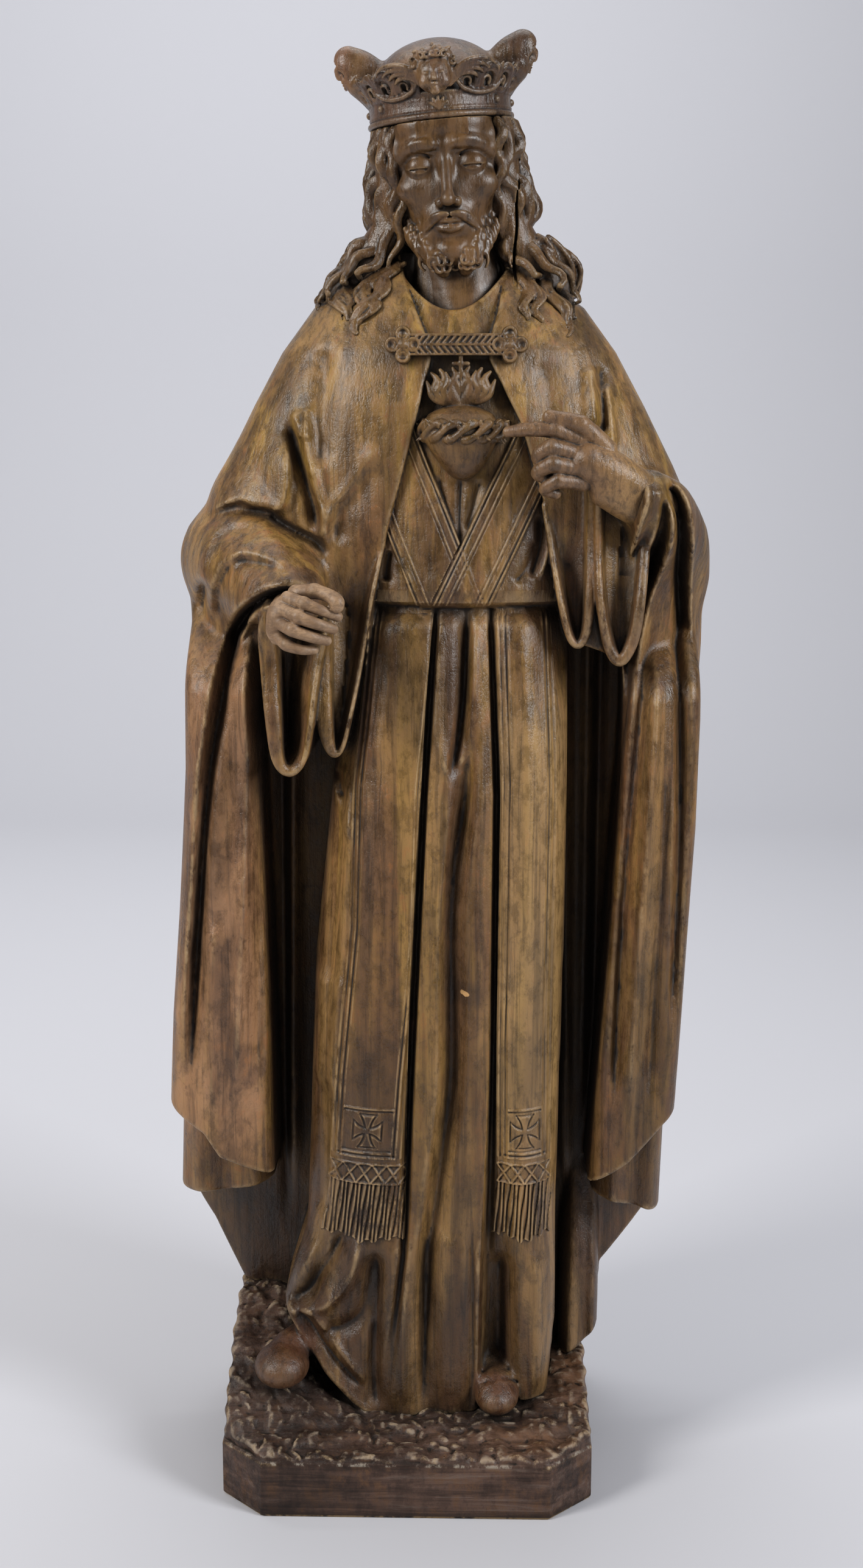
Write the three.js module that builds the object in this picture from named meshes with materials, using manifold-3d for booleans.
// A standing crowned figure, carved in wood: robe, stole and cope, with the heart on the breast,
// on a low plinth with cut corners and rocky ground. Millimetres, +Z up, the figure faces -Y,
// origin at the middle of the plinth's underside.
import * as THREE from "three";
import { mergeVertices } from "three/addons/utils/BufferGeometryUtils.js";
import Module from "manifold-3d";

const wasm = await Module();
wasm.setup();

// Driving dimensions.
const PLINTH = { width: 443, depth: 420, height: 69, corner: 52 };
const GROUND = 78; // where the figure's hem meets the ground
const BELT = 1078;
const NECK = { x: 50, y: 2, z: 1395, top: 1470, radius: 52 };
const HEAD = { x: 43, y: -2, z: 1562, pitch: 8, roll: -5 }; // eye line; degrees, down and sideways
const GAP = 0.4; // clearance between separate pieces

// Robe below the belt, by height: middle x, half width, front y, back y.
const ROBE = [
  [GROUND, 16, 150, -112, 40],
  [200, 10, 168, -114, 40],
  [300, 24, 152, -116, 40],
  [450, 28, 150, -118, 40],
  [650, 34, 148, -118, 40],
  [850, 48, 140, -114, 40],
  [1000, 58, 130, -106, 40],
  [BELT, 62, 120, -96, 40],
];

// Pleat lines of the robe's front, left to right: x then depth at each of PLEAT_HEIGHTS.
// A positive depth stands proud and a negative one is a groove.
const PLEAT_HEIGHTS = [GROUND, 500, 850, BELT];
const PLEATS = [
  { x: [-128, -104, -78, -50], out: [-5, -9, -7, -3] },
  { x: [-100, -86, -64, -43], out: [5, 6, 6, 4] },
  { x: [-62, -42, -24, -6], out: [5, 9, 9, 8] },
  { x: [-34, -2, 14, 28], out: [9, 6, 6, 4] },
  { x: [-22, 6, 21, 35], out: [-8, -26, -26, -14] },
  { x: [2, 22, 33, 43], out: [12, 8, 6, 8] },
  { x: [28, 42, 45, 54], out: [-3, -5, -9, -7] },
  { x: [50, 58, 59, 64], out: [12, 6, 4, 8] },
  { x: [68, 74, 72, 74], out: [-7, -7, -8, -8] },
  { x: [80, 88, 87, 87], out: [9, 8, 8, 6] },
  { x: [90, 99, 102, 97], out: [-2, -26, -28, -14] },
  { x: [98, 106, 109, 105], out: [6, 6, 6, 4] },
  { x: [140, 139, 142, 134], out: [6, 8, 9, 8] },
  { x: [172, 168, 171, 160], out: [6, 4, 4, 4] },
];

// Height of the robe's hem, by x.
const ROBE_HEM = [[-158, 216], [-150, 210], [-107, 152], [-62, 92], [-43, 78], [100, 78], [114, 96], [178, 98]];

// The stole's two ends: [z, x] of each edge.
const STOLE_PROUD = 4;
const STOLE_LEFT = {
  left: [[312, -105], [399, -94], [518, -85], [692, -68], [860, -63], [943, -54], [1090, -38]],
  right: [[312, -3], [493, 0], [693, 5], [862, 17], [944, 21], [1090, 33]],
};
const STOLE_RIGHT = {
  left: [[305, 100], [385, 106], [565, 105], [778, 107], [862, 108], [1090, 100]],
  right: [[305, 172], [491, 170], [649, 172], [776, 175], [943, 173], [1090, 160]],
};
const STRAPS = {
  left: [[22, -98, 1262, 30], [34, -106, 1190, 30], [56, -110, 1130, 28], [70, -104, 1078, 24]],
  right: [[116, -98, 1262, 30], [96, -106, 1190, 30], [68, -112, 1130, 28], [44, -106, 1078, 24]],
};

// Breast above the belt, under the cope.
const BREAST = [
  [BELT - 6, 62, 116, -92, 40],
  [BELT + 14, 62, 124, -104, 40],
  [1180, 60, 136, -104, 40],
  [1270, 56, 140, -98, 40],
  [1340, 52, 120, -84, 40],
  [1400, 50, 84, -62, 40],
  [1432, 50, 62, -48, 40],
];

// Cope over the shoulders and arms, down to where its panels hang.
const COPE = [
  [862, 41, 301, -56, 145],
  [940, 42, 303, -64, 144],
  [1010, 43, 305, -76, 142],
  [1090, 44, 303, -96, 140],
  [1150, 43, 296, -108, 138],
  [1220, 46, 262, -114, 134],
  [1290, 46, 226, -112, 128],
  [1350, 46, 193, -100, 118],
  [1400, 46, 156, -78, 100],
  [1425, 46, 120, -62, 84],
  [1450, 48, 64, -46, 60],
];

// Front edges of the cope, from the clasp down: x at each height.
const EDGE_LEFT = [
  [850, -180], [960, -172], [1040, -150], [1070, -60], [1084, -36], [1149, -22], [1253, 6], [1340, 28],
  [1372, -6], [1450, -14],
];
const EDGE_RIGHT = [
  [850, 254], [1000, 250], [1020, 196], [1066, 182], [1145, 164], [1195, 151], [1272, 127], [1340, 92],
  [1372, 108], [1450, 116],
];
const RECESS_Y = 22; // how far back the hollows beside the robe are cut

// Back of the cope below the arms: middle x, half width, front y, back y.
const BACK = [
  [80, 22, 285, RECESS_Y, 172],
  [300, 12, 300, RECESS_Y, 166],
  [455, 22, 306, RECESS_Y, 160],
  [650, 30, 302, RECESS_Y, 154],
  [862, 40, 300, RECESS_Y, 145],
  [930, 41, 296, RECESS_Y, 136],
];
// Its hem, by x.
const BACK_HEM = [
  [-295, 318], [-254, 262], [-216, 186], [-190, 158], [-120, 118], [20, 96],
  [150, 94], [205, 112], [232, 138], [240, 214], [286, 268], [330, 318],
];
const BACK_FOLDS = 9; // pleats across the back
const BACK_FOLD_DEPTH = 11;

// Hanging front panels of the cope. left and right are [z, x] edges; hem is [share across, z].
const PANELS = {
  leftOuter: {
    left: [[440, -290], [570, -283], [700, -273], [870, -262], [1080, -258]],
    right: [[366, -164], [542, -166], [700, -171], [870, -178], [1090, -160]],
    hem: [[0, 458], [0.35, 428], [0.5, 398], [1, 368]],
    top: 1090, front: -84, back: 30, folds: [[0.3, -6], [0.72, 9]],
  },
  leftInner: {
    left: [[330, -285], [500, -278], [700, -262]],
    right: [[330, -168], [500, -168], [700, -172]],
    hem: [[0, 334], [0.5, 336], [1, 348]],
    top: 700, front: -40, back: 34, folds: [[0.25, 4], [0.5, -6], [0.8, 4]],
  },
  rightOuter: {
    left: [[356, 216], [470, 224], [680, 239], [885, 251], [1080, 268]],
    right: [[450, 320], [650, 330], [800, 338], [930, 340], [1080, 338]],
    hem: [[0, 360], [0.45, 396], [0.85, 440], [1, 452]],
    top: 1080, front: -84, back: 30, folds: [[0.2, 8], [0.38, -7], [0.58, 9], [0.78, -4]],
  },
  rightInner: {
    left: [[320, 222], [500, 230], [700, 240]],
    right: [[312, 308], [500, 314], [700, 326]],
    hem: [[0, 334], [0.4, 326], [1, 312]],
    top: 700, front: -40, back: 34, folds: [[0.3, 4], [0.6, -6]],
  },
  rightLowest: {
    left: [[110, 186], [290, 188], [420, 190]],
    right: [[140, 236], [290, 238], [420, 240]],
    hem: [[0, 104], [0.5, 116], [1, 142]],
    top: 420, front: -6, back: 90, folds: [[0.5, 6]],
  },
};

// Bands of cloth hanging in loops under the hands, seen end on: path [x, z], thickness, front and back y.
const LOOPS = {
  rightHandOuter: {
    path: [[-158, 1070], [-160, 1000], [-154, 900], [-136, 880], [-114, 902], [-104, 965], [-90, 1035]],
    thick: 13, front: -146, back: 30,
  },
  rightHandInner: {
    path: [[-100, 1030], [-101, 935], [-88, 895], [-70, 916], [-54, 985], [-40, 1078]],
    thick: 10, front: -124, back: 30,
  },
  leftHandInner: {
    path: [[158, 1160], [174, 1072], [186, 1030], [197, 1024], [206, 1042], [205, 1165]],
    thick: 9, front: -116, back: 30,
  },
  leftHandOuter: {
    path: [[214, 1170], [218, 1078], [232, 1012], [247, 1006], [262, 1072], [270, 1200]],
    thick: 12, front: -126, back: 30,
  },
};

// Sleeves and rolled folds: a path of [x, y, z, radius].
const ROLLS = {
  rightForearm: [[-218, 20, 1112, 54], [-190, -40, 1106, 56], [-150, -100, 1092, 50], [-124, -132, 1078, 38]],
  leftForearm: [[304, 20, 1100, 46], [300, -30, 1136, 46], [284, -84, 1168, 42], [268, -112, 1186, 34]],
  rightCuff: [[-72, -92, 1096, 12], [-104, -140, 1112, 13], [-142, -142, 1100, 13], [-166, -128, 1060, 11],
    [-168, -110, 980, 9]],
  rightRollOne: [[-84, -96, 1126, 14], [-140, -116, 1152, 17], [-196, -100, 1148, 17], [-236, -64, 1104, 15],
    [-246, -50, 1020, 12], [-250, -40, 900, 8]],
  rightRollTwo: [[-96, -120, 1118, 12], [-150, -134, 1128, 14], [-196, -118, 1108, 14], [-222, -92, 1050, 12],
    [-236, -78, 960, 9], [-244, -66, 886, 6]],
  rightShoulderFold: [[-130, -66, 1340, 8], [-142, -104, 1270, 15], [-138, -120, 1200, 17], [-112, -124, 1176, 12]],
  rightBreastFold: [[-104, -80, 1330, 8], [-100, -114, 1250, 16], [-94, -124, 1180, 17], [-90, -118, 1110, 12]],
  leftBreastFold: [[178, -80, 1330, 8], [190, -108, 1260, 13], [202, -116, 1200, 13], [214, -108, 1160, 9]],
  leftShoulderFold: [[218, -70, 1330, 8], [236, -98, 1270, 13], [252, -104, 1210, 13]],
  leftSleeveOne: [[262, -118, 1214, 9], [286, -122, 1190, 14], [296, -116, 1140, 16], [282, -110, 1070, 14],
    [258, -104, 1014, 8]],
  leftSleeveTwo: [[286, -92, 1226, 9], [318, -88, 1186, 14], [328, -80, 1120, 14], [324, -74, 1000, 12],
    [314, -70, 880, 8]],
};

// Locks of hair in the figure's frame: a path of [x, y, z, radius].
const LOCKS = [
  [[-30, -44, 1594, 10], [-42, -46, 1566, 12], [-30, -52, 1536, 12], [-42, -44, 1506, 12], [-30, -40, 1476, 13],
    [-58, -44, 1448, 14], [-62, -62, 1410, 12], [-46, -78, 1378, 7]],
  [[-34, -22, 1592, 11], [-46, -20, 1556, 13], [-36, -22, 1520, 13], [-52, -16, 1484, 14], [-74, -20, 1452, 15],
    [-90, -40, 1416, 13], [-84, -62, 1386, 8]],
  [[-34, 10, 1590, 14], [-44, 12, 1540, 16], [-36, 14, 1490, 17], [-66, 14, 1450, 17], [-84, 10, 1412, 14]],
  [[114, -44, 1598, 10], [122, -48, 1570, 12], [112, -52, 1540, 12], [130, -44, 1512, 13], [122, -38, 1480, 13],
    [138, -46, 1450, 14], [150, -66, 1410, 12], [166, -70, 1376, 7]],
  [[118, -22, 1600, 11], [126, -22, 1562, 13], [124, -18, 1528, 14], [136, -12, 1488, 14], [158, -20, 1454, 15],
    [178, -38, 1418, 13], [176, -58, 1388, 8]],
  [[118, 10, 1596, 14], [124, 12, 1546, 16], [124, 14, 1496, 17], [150, 14, 1456, 17], [170, 8, 1416, 14]],
  [[-8, 54, 1600, 22], [-16, 62, 1530, 22], [-10, 66, 1450, 24], [-24, 92, 1366, 9]],
  [[44, 66, 1600, 26], [40, 76, 1530, 27], [48, 80, 1450, 26], [44, 108, 1352, 10]],
  [[94, 54, 1600, 22], [102, 62, 1530, 22], [98, 66, 1450, 24], [116, 92, 1366, 9]],
  [[-8, 24, 1560, 30], [-24, 22, 1480, 34], [-52, 20, 1416, 34]],
  [[96, 24, 1560, 30], [108, 22, 1480, 34], [138, 20, 1416, 34]],
];

// Forms of the head about the eye line: centre, radii, and 1 to add or -1 to hollow out.
const HEAD_FORMS = [
  { at: [0, 8, 30], radii: [76, 90, 84], sign: 1 },
  { at: [0, -22, -30], radii: [60, 64, 82], sign: 1 },
  { at: [0, -46, -88], radii: [34, 34, 26], sign: 1 },
  { at: [-38, -50, -16], radii: [24, 24, 20], sign: 1 },
  { at: [38, -50, -16], radii: [24, 24, 20], sign: 1 },
  { at: [-27, -74, 22], radii: [28, 13, 9], sign: 1 },
  { at: [27, -74, 22], radii: [28, 13, 9], sign: 1 },
  { at: [-31, -92, 4], radii: [17, 15, 11], sign: -1 },
  { at: [31, -92, 4], radii: [17, 15, 11], sign: -1 },
  { at: [-31, -74, 2], radii: [14, 12, 10], sign: 1 },
  { at: [31, -74, 2], radii: [14, 12, 10], sign: 1 },
  { at: [0, -88, -2], radii: [8, 12, 24], sign: 1 },
  { at: [0, -98, -28], radii: [11, 14, 11], sign: 1 },
  { at: [0, -82, -66], radii: [24, 16, 12], sign: 1 },
  { at: [-17, -92, -55], radii: [17, 8, 7], sign: 1 },
  { at: [17, -92, -55], radii: [17, 8, 7], sign: 1 },
  { at: [-47, -50, -52], radii: [14, 18, 30], sign: 1 },
  { at: [47, -50, -52], radii: [14, 18, 30], sign: 1 },
  { at: [-36, -66, -86], radii: [18, 18, 24], sign: 1 },
  { at: [36, -66, -86], radii: [18, 18, 24], sign: 1 },
  { at: [-14, -80, -104], radii: [13, 15, 23], sign: 1 },
  { at: [14, -80, -104], radii: [13, 15, 23], sign: 1 },
];
const HEAD_BLEND = 9;

const COLLAR = [[-12, -10, 1442, 8], [6, -56, 1412, 9], [52, -78, 1394, 9], [98, -56, 1412, 9], [114, -10, 1442, 8]];
const HEART = [
  [1216, 63, 5, -120, -96], [1228, 62, 19, -128, -88], [1245, 61, 36, -133, -88], [1262, 61, 45, -134, -86],
  [1277, 61, 43, -128, -86], [1287, 61, 30, -118, -86],
];
const FLAMES = [
  [[60, -100, 1290, 13], [60, -104, 1312, 12], [61, -105, 1335, 4]],
  [[54, -98, 1292, 11], [37, -101, 1306, 10], [31, -103, 1330, 4]],
  [[66, -98, 1292, 11], [84, -101, 1306, 10], [90, -103, 1330, 4]],
];

// Wings, broken arches and crest of the crown, one side, in the crown's frame.
const CHERUB_WINGS = [[[-14, -102, 38, 9], [-38, -98, 46, 11], [-60, -84, 54, 8], [-70, -74, 56, 4]]];
const ARCH_STUBS = [[[-20, -10, 78, 12], [-58, -10, 66, 13], [-86, -10, 70, 15], [-106, -10, 62, 11]]];
const CREST = [[0, -86, 50, 16], [0, -62, 74, 15], [0, -30, 82, 12]];

const CROWN = {
  x: 37, y: 2, z: 1600, pitch: 6, roll: -5, // middle of the lower rim
  halfWidth: 80, halfDepth: 94, wall: 7, band: 26, lace: 30, flare: 14,
};

// Hands: a path of [x, y, z, radius] for each finger, the back of the hand and the wrist.
const RIGHT_HAND = [
  [[-126, -112, 1086, 23], [-122, -160, 1088, 22], [-122, -190, 1080, 20]],
  [[-114, -190, 1096, 15], [-122, -193, 1070, 17], [-128, -190, 1044, 14]],
  [[-120, -196, 1088, 9], [-98, -212, 1080, 9], [-76, -208, 1066, 8]],
  [[-128, -200, 1074, 9], [-102, -217, 1062, 9], [-76, -210, 1052, 8]],
  [[-134, -200, 1058, 9], [-108, -216, 1046, 9], [-82, -208, 1038, 8]],
  [[-136, -196, 1042, 8], [-116, -210, 1032, 8], [-94, -204, 1027, 7]],
  [[-112, -182, 1102, 11], [-92, -196, 1098, 10], [-72, -202, 1083, 8]],
];
const LEFT_HAND = [
  [[284, -100, 1182, 20], [256, -128, 1200, 21], [226, -142, 1216, 23], [200, -148, 1230, 22]],
  [[196, -150, 1252, 11], [166, -158, 1262, 9], [138, -158, 1264, 8], [113, -154, 1261, 6]],
  [[188, -154, 1238, 10], [160, -164, 1244, 9], [146, -156, 1234, 8], [160, -150, 1226, 7]],
  [[190, -154, 1222, 10], [162, -164, 1226, 9], [146, -156, 1217, 8], [160, -150, 1210, 7]],
  [[196, -150, 1206, 9], [168, -160, 1208, 8], [154, -154, 1199, 7], [166, -148, 1194, 6]],
  [[222, -146, 1242, 11], [192, -158, 1268, 10], [158, -160, 1277, 8]],
];

const deg = Math.PI / 180;
const lerp = THREE.MathUtils.lerp;
const smooth = THREE.MathUtils.smoothstep;

// Value of a table of [key, value, value...] rows at a key, straight between rows.
function look(table, key, column = 1) {
  let i = 1;
  while (i < table.length - 1 && key > table[i][0]) i++;
  const [a, b] = [table[i - 1], table[i]];
  const share = THREE.MathUtils.clamp((key - a[0]) / (b[0] - a[0]), 0, 1);
  return lerp(a[column], b[column], share);
}

// Turns a closed three.js geometry into a solid, facing out.
function solid(geometry) {
  geometry.deleteAttribute("normal");
  geometry.deleteAttribute("uv");
  const merged = mergeVertices(geometry, 1e-3);
  const vertProperties = merged.attributes.position.array;
  const triVerts = new Uint32Array(merged.index.array);
  const made = new wasm.Manifold(new wasm.Mesh({ numProp: 3, vertProperties, triVerts }));
  if (made.volume() > 0) return made;
  for (let i = 0; i < triVerts.length; i += 3) {
    [triVerts[i + 1], triVerts[i + 2]] = [triVerts[i + 2], triVerts[i + 1]];
  }
  return new wasm.Manifold(new wasm.Mesh({ numProp: 3, vertProperties, triVerts }));
}

const join = (list) => list.reduce((a, b) => a.add(b));

// Closed geometry over a stack of rings of points, each ring with the same number of points.
function skin(rings) {
  const rows = rings.length - 1;
  const columns = rings[0].length;
  const geometry = new THREE.CylinderGeometry(1, 1, 1, columns, rows).rotateX(Math.PI / 2);
  const place = geometry.attributes.position;
  for (let i = 0; i < place.count; i++) {
    const row = Math.round((place.getZ(i) + 0.5) * rows);
    const reach = Math.hypot(place.getX(i), place.getY(i));
    const turn = Math.atan2(place.getX(i), -place.getY(i)) / (2 * Math.PI) + 1;
    const column = Math.round(turn * columns) % columns;
    const ring = rings[row];
    const middle = [0, 1, 2].map((k) => ring.reduce((sum, point) => sum + point[k], 0) / columns);
    place.setXYZ(i, ...(reach > 0.5 ? ring[column] : middle));
  }
  return geometry;
}

// A round limb, finger, lock or rolled fold along a path of [x, y, z, radius], with rounded ends.
function limb(path, sides = 6, grow = 0, flat = 1) {
  const curve = new THREE.CatmullRomCurve3(path.map(([x, y, z]) => new THREE.Vector3(x, y, z)));
  const steps = path.length - 1;
  const frames = curve.computeFrenetFrames(steps);
  const rings = [];
  const ring = (centre, i, radius) => Array.from({ length: sides }, (_, s) => {
    const turn = (s / sides) * 2 * Math.PI;
    const point = centre.clone();
    point.addScaledVector(frames.normals[i], radius * Math.cos(turn));
    point.addScaledVector(frames.binormals[i], radius * flat * Math.sin(turn));
    return point.toArray();
  });
  for (let i = 0; i <= steps; i++) {
    const radius = path[i][3] + grow;
    const centre = curve.getPoint(i / steps);
    const ahead = frames.tangents[i];
    if (i === 0) rings.push(ring(centre.clone().addScaledVector(ahead, -0.6 * radius), 0, 0.6 * radius));
    rings.push(ring(centre, i, radius));
    if (i === steps) rings.push(ring(centre.clone().addScaledVector(ahead, 0.6 * radius), i, 0.6 * radius));
  }
  return skin(rings);
}

function ball(at, radii, columns = 12, rows = 8) {
  return new THREE.SphereGeometry(1, columns, rows).scale(...radii).translate(...at);
}

// Point on a rounded outline, by angle from the front toward +X.
function rounded(x, halfWidth, front, back, turn, power = 2.4) {
  const side = Math.sin(turn);
  const ahead = Math.cos(turn);
  const reach = (Math.abs(side) ** power + Math.abs(ahead) ** power) ** (-1 / power);
  const middle = (front + back) / 2;
  const depth = ahead > 0 ? middle - front : back - middle;
  return [x + halfWidth * side * reach, middle - depth * ahead * reach];
}

// Closed form over a table of rounded outlines, [z, x, half width, front, back] from the bottom up.
function stack(table, columns, power) {
  const rings = [];
  table.forEach(([z, ...values]) => {
    rings.push(Array.from({ length: columns }, (_, c) => (
      [...rounded(...values, (c / columns) * 2 * Math.PI, power), z]
    )));
  });
  return skin(rings);
}

// Solid between two y planes, behind an outline of [x, z] points.
function slab(outline, front, back) {
  const shape = new THREE.Shape(outline.map(([x, z]) => new THREE.Vector2(x, z)));
  const geometry = new THREE.ExtrudeGeometry(shape, { depth: back - front, bevelEnabled: false });
  return geometry.rotateX(Math.PI / 2).translate(0, back, 0);
}

function plinthBlock() {
  const [x, y, c] = [PLINTH.width / 2, PLINTH.depth / 2, PLINTH.corner];
  const shape = new THREE.Shape([
    [-x + c, -y], [x - c, -y], [x, -y + c], [x, y - c], [x - c, y], [-x + c, y], [-x, y - c], [-x, -y + c],
  ].map(([a, b]) => new THREE.Vector2(a, b)));
  return solid(new THREE.ExtrudeGeometry(shape, { depth: PLINTH.height, bevelEnabled: false }));
}

// Height of the rocky ground, higher at the left and behind.
function groundHeight(x, y) {
  const front = 16 * smooth(y, -215, -85);
  const left = 94 * smooth(-x, 40, 170) * smooth(y, -215, 30);
  const right = 24 * smooth(x, 40, 200) * smooth(y, -200, 60);
  const lumps = 3 * Math.sin(x / 13 + 1.7 * Math.sin(y / 17)) * Math.sin(y / 11 + x / 29);
  return PLINTH.height + 3 + front + left + right + lumps;
}

function rockyGround() {
  const [w, d, c] = [PLINTH.width / 2 - 3, PLINTH.depth / 2 - 3, PLINTH.corner];
  const corners = [
    [0, -d], [w - c, -d], [w, -d + c], [w, d - c], [w - c, d], [-w + c, d], [-w, d - c], [-w, -d + c], [-w + c, -d],
  ];
  const edge = [];
  corners.forEach(([x, y], i) => {
    const [nextX, nextY] = corners[(i + 1) % corners.length];
    const parts = Math.max(2, Math.round(Math.hypot(nextX - x, nextY - y) / 42));
    for (let k = 0; k < parts; k++) edge.push([lerp(x, nextX, k / parts), lerp(y, nextY, k / parts)]);
  });
  const rings = [edge.map(([x, y]) => [x, y, PLINTH.height - 8])];
  for (const scale of [1, 0.9, 0.78, 0.64, 0.48, 0.3, 0.12]) {
    rings.push(edge.map(([x, y]) => [x * scale, y * scale, groundHeight(x * scale, y * scale)]));
  }
  return solid(skin(rings));
}

// How far the robe's front stands out at x, from its pleats.
function pleat(x, z) {
  const level = PLEATS.map((line) => {
    const table = PLEAT_HEIGHTS.map((height, i) => [height, line.x[i], line.out[i]]);
    return [look(table, z, 1), look(table, z, 2)];
  });
  return look(level, x);
}

function robeFront(x, z) {
  const [middle, half, front] = [1, 2, 3].map((column) => look(ROBE, z, column));
  const share = Math.min(Math.abs(x - middle) / half, 1);
  return front * (1 - share ** 3) ** (1 / 3) - pleat(x, z);
}

// Robe below the belt: its front points follow the pleats, and its hem lifts at the left.
function robe() {
  const levels = [0, 0.06, 0.14, 0.24, 0.36, 0.5, 0.64, 0.78, 0.9, 1];
  const rings = levels.map((share) => {
    const point = (x, y) => {
      const hem = look(ROBE_HEM, x);
      return [x, y, lerp(hem, BELT, share)];
    };
    const z = lerp(GROUND, BELT, share);
    const [middle, half] = [look(ROBE, z), look(ROBE, z, 2)];
    const ring = PLEATS.map((line) => {
      const table = PLEAT_HEIGHTS.map((height, i) => [height, line.x[i]]);
      const x = look(table, z);
      return point(x, robeFront(x, lerp(look(ROBE_HEM, x), BELT, share)));
    });
    const [left, right] = [middle - half, middle + half];
    ring.push(point(right, -50), point(right, 20), point(right - 20, 40));
    ring.push(point(left + 20, 40), point(left, 20), point(left, -50));
    return ring;
  });
  return solid(skin(rings));
}

function breast() {
  return solid(stack(BREAST, 14, 2.4));
}

// One hanging end of the stole, standing a little proud of the robe, with its straps over the breast.
function stoleEnd({ left, right }) {
  const rings = [];
  const heights = [left[0][0], 400, 520, 650, 780, 900, 1000, BELT + 6];
  heights.forEach((z) => {
    const ring = [];
    for (let k = 0; k <= 6; k++) {
      const x = lerp(look(left, z), look(right, z), k / 6);
      ring.push([x, Math.min(robeFront(x, Math.min(z, BELT)), -70) - STOLE_PROUD, z]);
    }
    for (let k = 6; k >= 0; k--) {
      const x = lerp(look(left, z), look(right, z), k / 6);
      ring.push([x, robeFront(x, Math.min(z, BELT)) + 26, z]);
    }
    rings.push(ring);
  });
  return solid(skin(rings));
}

function strap(path) {
  return solid(limb(path, 6, 0, 0.45));
}

// Cope over shoulders and arms, open in front between its edges.
function cope() {
  const outer = solid(stack(COPE, 20, 2.3));
  const opening = [...EDGE_LEFT, ...[...EDGE_RIGHT].reverse()].map(([z, x]) => [x, z]);
  const low = opening.filter(([, z]) => z < 1080);
  const chest = solid(slab(opening, -400, -84));
  return outer.subtract(chest).subtract(solid(slab(low, -400, RECESS_Y)));
}

// Back of the cope, hanging in pleats to a hem that rises at the sides.
function back() {
  const columns = BACK_FOLDS * 3;
  const shares = [0, 0.22, 0.5, 0.9, 1];
  const outline = (z) => {
    const [middle, half, front, rear] = [1, 2, 3, 4].map((column) => look(BACK, z, column));
    const ring = [-1, -0.6, -0.2, 0.2, 0.6, 1].map((k) => [middle + k * half, front]);
    for (let c = 0; c <= columns; c++) {
      const turn = (c / columns) * Math.PI;
      const fade = 1 - smooth(z, 400, 850);
      const fold = BACK_FOLD_DEPTH * fade * Math.cos(c * Math.PI * 2 / 3);
      const reach = Math.max(Math.abs(Math.cos(turn)), 1e-6) ** 2.4 + Math.abs(Math.sin(turn)) ** 2.4;
      const size = reach ** (-1 / 2.4);
      ring.push([
        middle + half * Math.cos(turn) * size,
        front + 12 + (rear - front - 12 + fold) * Math.sin(turn) * size,
      ]);
    }
    return ring;
  };
  const top = outline(BACK.at(-1)[0]);
  const rings = shares.map((share) => top.map((_, i) => {
    const hem = look(BACK_HEM, outline(300)[i][0]);
    const z = lerp(hem, BACK.at(-1)[0], share);
    return [...outline(z)[i], z];
  }));
  return solid(skin(rings));
}

// One hanging panel of the cope, flat behind, folded in front and rounded at its edges.
function panel({ left, right, hem, top, front, back: rear, folds }) {
  const across = 6;
  const rings = [];
  for (const share of [0, 0.15, 0.4, 0.7, 1]) {
    const point = (k, y) => {
      const z = lerp(look(hem, k), top, share);
      return [lerp(look(left, z), look(right, z), k), y, z];
    };
    const ring = [];
    for (let k = 0; k <= across; k++) {
      const along = k / across;
      const proud = folds.reduce((sum, [at, out]) => sum + out * Math.exp(-(((along - at) / 0.11) ** 2)), 0);
      ring.push(point(along, front - proud + 14 * Math.abs(2 * along - 1) ** 5));
    }
    for (let k = across; k >= 0; k -= 2) ring.push(point(k / across, rear));
    rings.push(ring);
  }
  return solid(skin(rings));
}

// Band of cloth hanging in a loop, seen end on.
function loopBand({ path, thick, front, back: rear }) {
  const curve = new THREE.CatmullRomCurve3(path.map(([x, z]) => new THREE.Vector3(x, 0, z)));
  const steps = path.length;
  const rings = [];
  for (let i = 0; i <= steps; i++) {
    const middle = curve.getPoint(i / steps);
    const ahead = curve.getTangent(i / steps);
    const side = new THREE.Vector3(-ahead.z, 0, ahead.x).multiplyScalar(thick / 2);
    const points = [[-1, rear], [-1, front], [1, front], [1, rear]];
    rings.push(points.map(([k, y]) => [middle.x + k * side.x, y, middle.z + k * side.z]));
  }
  return solid(skin(rings));
}

// Distance to an oval, negative inside.
function ovalDistance(point, at, radii) {
  const near = Math.hypot(...point.map((v, i) => (v - at[i]) / radii[i]));
  const steep = Math.hypot(...point.map((v, i) => (v - at[i]) / radii[i] ** 2));
  return near * (near - 1) / Math.max(steep, 1e-6);
}

function blend(a, b, width) {
  const share = Math.max(width - Math.abs(a - b), 0) / width;
  return Math.min(a, b) - share * share * width / 4;
}

function headDistance(point) {
  return HEAD_FORMS.reduce((sum, { at, radii, sign }) => {
    const form = ovalDistance(point, at, radii);
    return sign > 0 ? blend(sum, form, HEAD_BLEND) : -blend(-sum, form, HEAD_BLEND);
  }, 1e3);
}

const headFrame = () => new THREE.Matrix4()
  .makeTranslation(HEAD.x, HEAD.y, HEAD.z)
  .multiply(new THREE.Matrix4().makeRotationX(HEAD.pitch * deg))
  .multiply(new THREE.Matrix4().makeRotationY(HEAD.roll * deg));

const crownFrame = () => new THREE.Matrix4()
  .makeTranslation(CROWN.x, CROWN.y, CROWN.z)
  .multiply(new THREE.Matrix4().makeRotationX(CROWN.pitch * deg))
  .multiply(new THREE.Matrix4().makeRotationY(CROWN.roll * deg));

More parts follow.
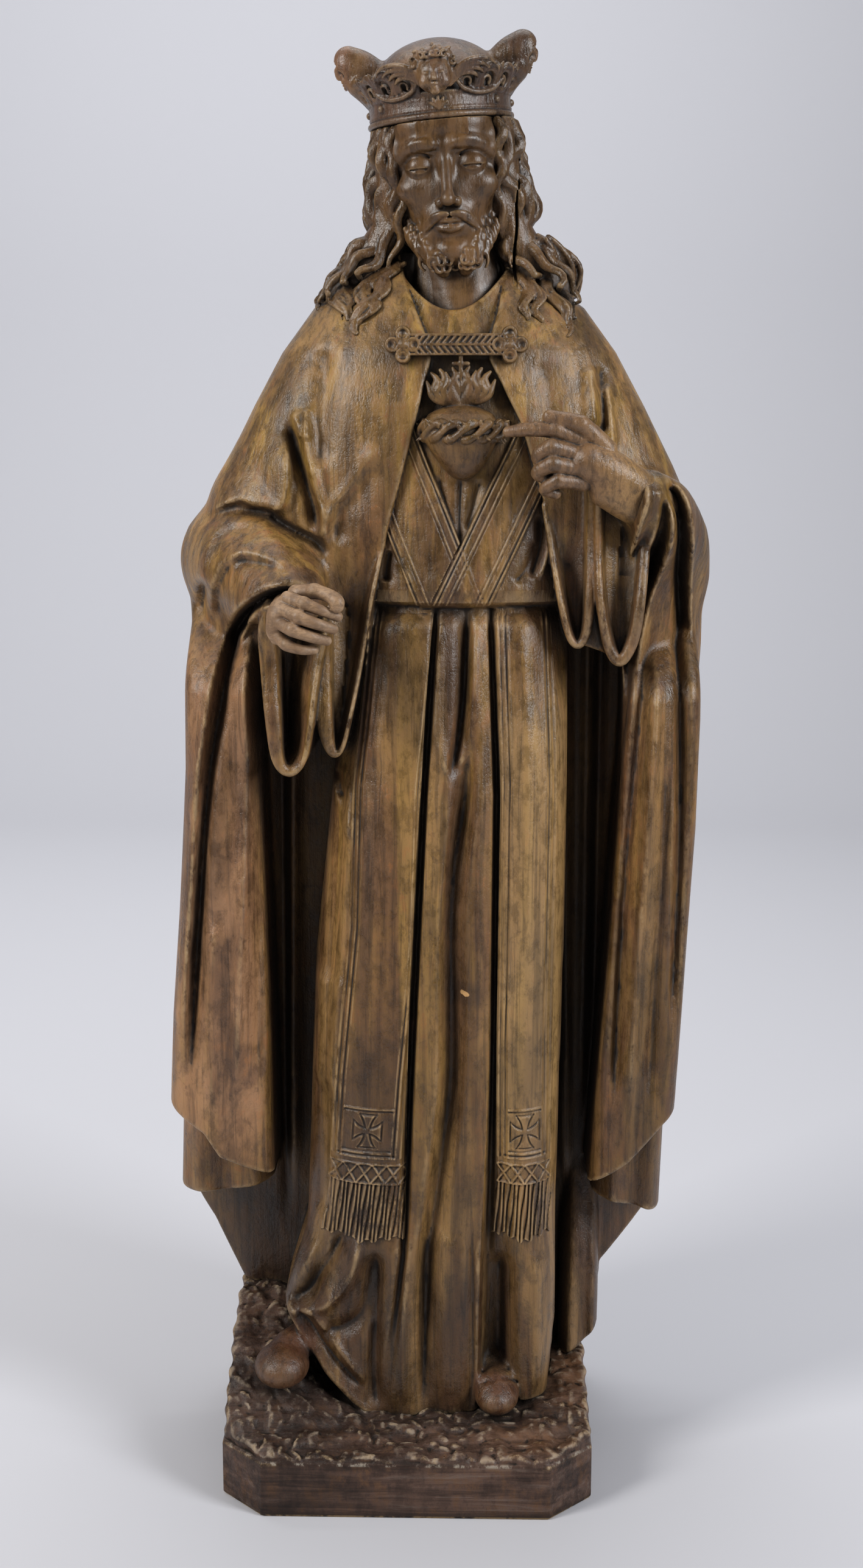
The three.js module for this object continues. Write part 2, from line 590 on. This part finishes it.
// Skull and face: the surface is found along rays from inside, closer together at the front.
function headShape() {
  const [rows, columns] = [17, 22];
  const rings = [];
  for (let r = 0; r <= rows; r++) {
    const slope = lerp(-84, 84, r / rows) * deg;
    rings.push(Array.from({ length: columns }, (_, c) => {
      const even = (c / columns) * 2 * Math.PI;
      const turn = even - 0.55 * Math.sin(even);
      const ray = [Math.cos(slope) * Math.sin(turn), -Math.cos(slope) * Math.cos(turn), Math.sin(slope)];
      const point = (reach) => [reach * ray[0], -8 + reach * ray[1], -18 + reach * ray[2]];
      let [near, far] = [10, 160];
      while (far > near && headDistance(point(far)) > 0) far -= 2;
      near = far;
      far += 2;
      for (let i = 0; i < 12; i++) {
        const reach = (near + far) / 2;
        if (headDistance(point(reach)) > 0) far = reach;
        else near = reach;
      }
      return point(near);
    }));
  }
  return skin(rings);
}

const mirrored = (paths) => [...paths, ...paths.map((path) => path.map(([x, y, z, r]) => [-x, y, z, r]))];

function head() {
  return solid(headShape().applyMatrix4(headFrame()));
}

function hair() {
  return join(LOCKS.map((path) => solid(limb(path, 5))));
}

function neckAndCollar() {
  const neck = solid(limb([[50, 2, 1360, 50], [NECK.x, NECK.y, NECK.z, NECK.radius], [46, 2, 1480, 46]], 12));
  return neck.add(solid(limb(COLLAR, 7)));
}

function heart() {
  const forms = [solid(stack(HEART, 10, 2.2)), solid(limb([[60, -96, 1270, 20], [60, -100, 1296, 16]], 6))];
  const wreath = [];
  for (let k = 0; k <= 8; k++) {
    const turn = lerp(-0.5, 0.5, k / 8) * Math.PI;
    wreath.push([63 + 48 * Math.sin(turn), -94 - 40 * Math.cos(turn), 1262 + (k % 2 ? 4 : -4), 6]);
  }
  forms.push(solid(limb(wreath, 4)));
  FLAMES.forEach((path) => forms.push(solid(limb(path, 5, 0, 0.8))));
  return join(forms);
}

// Clasp of the cope: a bar with a four-lobed end at each side.
function brooch() {
  const forms = [solid(limb([[2, -104, 1355, 13], [56, -110, 1355, 13], [110, -104, 1355, 13]], 6, 0, 0.7))];
  for (const x of [-3, 115]) {
    const outline = Array.from({ length: 16 }, (_, k) => {
      const turn = (k / 16) * 2 * Math.PI;
      const reach = 15.5 + 4.5 * Math.cos(4 * turn);
      return [x + reach * Math.cos(turn), 1355 + reach * Math.sin(turn)];
    });
    forms.push(solid(slab(outline, -120, -80)));
  }
  return join(forms);
}

function feet() {
  return join([
    solid(ball([-157, -118, 143], [29, 42, 32], 10, 7)),
    solid(limb([[-60, -20, 150, 34], [-110, -60, 150, 32], [-146, -96, 146, 28]], 9)),
    solid(limb([[96, -40, 116, 28], [104, -86, 114, 26], [109, -118, 110, 22]], 10)),
  ]);
}

// Everything above the seat of the crown.
function aboveSeat() {
  const box = new THREE.BoxGeometry(300, 300, 240).translate(0, 0, 120 - GAP);
  return solid(box.applyMatrix4(crownFrame()));
}

function figure() {
  const forms = [robe(), breast(), cope(), back()];
  Object.values(PANELS).forEach((one) => forms.push(panel(one)));
  Object.values(LOOPS).forEach((one) => forms.push(loopBand(one)));
  Object.values(ROLLS).forEach((path) => forms.push(solid(limb(path, 5))));
  Object.values(STRAPS).forEach((path) => forms.push(strap(path)));
  forms.push(stoleEnd(STOLE_LEFT), stoleEnd(STOLE_RIGHT));
  forms.push(neckAndCollar(), head(), hair(), heart(), brooch(), feet());
  const whole = join(forms)
    .subtract(aboveSeat())
    .subtract(rockyGround().translate([0, 0, GAP]))
    .subtract(hand(RIGHT_HAND, GAP))
    .subtract(hand(LEFT_HAND, GAP));
  return whole.decompose().reduce((a, b) => (a.volume() > b.volume() ? a : b));
}

function hand(paths, grow = 0) {
  return join(paths.map((path, i) => solid(limb(path, i < 2 ? 6 : 5, grow))));
}

// The crown's pierced border, flaring outward with a scalloped top.
function crownBorder() {
  const columns = 24;
  const ring = (inset, level, lift) => Array.from({ length: columns }, (_, c) => {
    const turn = (c / columns) * 2 * Math.PI;
    const spread = CROWN.flare * level - inset;
    const top = lift * 4 * Math.cos(c * Math.PI);
    return [
      (CROWN.halfWidth + spread) * Math.sin(turn),
      -(CROWN.halfDepth + spread) * Math.cos(turn),
      CROWN.band - 4 + (CROWN.lace + 4) * level + top,
    ];
  });
  const outside = solid(skin([ring(0, 0, 0), ring(0, 1, 1)]));
  const inside = solid(skin([ring(CROWN.wall, -0.1, 0), ring(CROWN.wall, 1.6, 1)]));
  const holes = [];
  for (let c = 0; c < columns; c += 2) {
    const turn = ((c + 1) / columns) * 2 * Math.PI;
    const hole = new THREE.CylinderGeometry(8, 8, 60, 6).rotateX(Math.PI / 2);
    hole.translate(0, -CROWN.halfDepth, CROWN.band + 13);
    if (c === 0 || (c > 6 && c < columns - 8) || c === columns - 2) continue;
    holes.push(solid(hole.rotateZ(turn)));
  }
  return outside.subtract(inside).subtract(join(holes));
}

function crown() {
  const bands = [[0, 5], [6, 6], [9, 1], [22, 0], [25, 5], [30, 3]];
  const rings = bands.map(([z, out]) => Array.from({ length: 18 }, (_, c) => {
    const turn = (c / 18) * 2 * Math.PI;
    return [(CROWN.halfWidth + out) * Math.sin(turn), -(CROWN.halfDepth + out) * Math.cos(turn), z];
  }));
  const forms = [
    solid(skin(rings)),
    solid(ball([0, 0, 22], [69, 80, 72], 12, 6)),
    crownBorder(),
    solid(ball([-4, -102, 42], [18, 17, 20], 8, 5)),
    solid(ball([-4, -96, 51], [21, 17, 15], 7, 4)),
      ];
  mirrored(CHERUB_WINGS).forEach((path) => forms.push(solid(limb(path, 6, 0, 0.6))));
  mirrored(ARCH_STUBS).forEach((path) => forms.push(solid(limb(path, 6))));
  forms.push(solid(limb(CREST, 7)));
  const seat = new THREE.BoxGeometry(400, 400, 100).translate(0, 0, -50);
  return join(forms).subtract(solid(seat)).transform(crownFrame().elements);
}

function plinth() {
  return plinthBlock().add(rockyGround());
}

// Turns a solid into a named mesh with its own finish.
function mesh(name, form, colour, roughness) {
  const { numProp, vertProperties, triVerts } = form.getMesh();
  const place = new Float32Array((vertProperties.length / numProp) * 3);
  for (let i = 0; i < place.length / 3; i++) place.set(vertProperties.subarray(i * numProp, i * numProp + 3), i * 3);
  const geometry = new THREE.BufferGeometry();
  geometry.setAttribute("position", new THREE.BufferAttribute(place, 3));
  geometry.setIndex(new THREE.BufferAttribute(triVerts, 1));
  const material = new THREE.MeshStandardMaterial({ color: colour, roughness, metalness: 0 });
  const made = new THREE.Mesh(geometry, material);
  made.name = name;
  return made;
}

const group = new THREE.Group();
group.add(
  mesh("plinth", plinth(), "#4a382c", 0.55),
  mesh("figure", figure(), "#7a5738", 0.42),
  mesh("crown", crown(), "#6b5138", 0.5),
  mesh("right_hand", hand(RIGHT_HAND), "#b0916c", 0.6),
  mesh("left_hand", hand(LEFT_HAND), "#7d5a3c", 0.45),
);

export default group;
